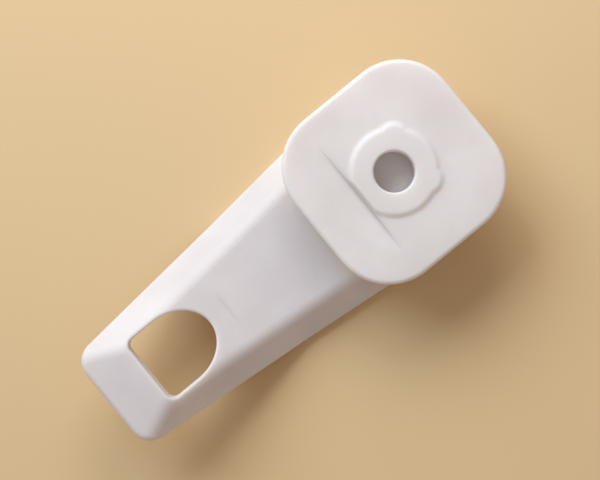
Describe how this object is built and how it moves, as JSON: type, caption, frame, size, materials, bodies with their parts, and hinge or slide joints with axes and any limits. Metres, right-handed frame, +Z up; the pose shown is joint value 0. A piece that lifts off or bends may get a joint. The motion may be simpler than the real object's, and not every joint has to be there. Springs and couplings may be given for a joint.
{
  "type": "curtain glider",
  "caption": "One-piece moulded glider with a rounded square head, a short neck and a cranked arm that ends in an arched eye for a curtain hook.",
  "frame": {"origin": "on the axis of the neck, on the flat back that the glider lies on", "axes": "+X along the arm from the head to the eye, +Y across it, +Z up the neck to the head"},
  "size_m": [0.0334, 0.014, 0.0066],
  "materials": {
    "white_plastic": "satin, as moulded"
  },
  "bodies": {
    "root": {"glider_body": "white_plastic"}
  },
  "joints": []
}
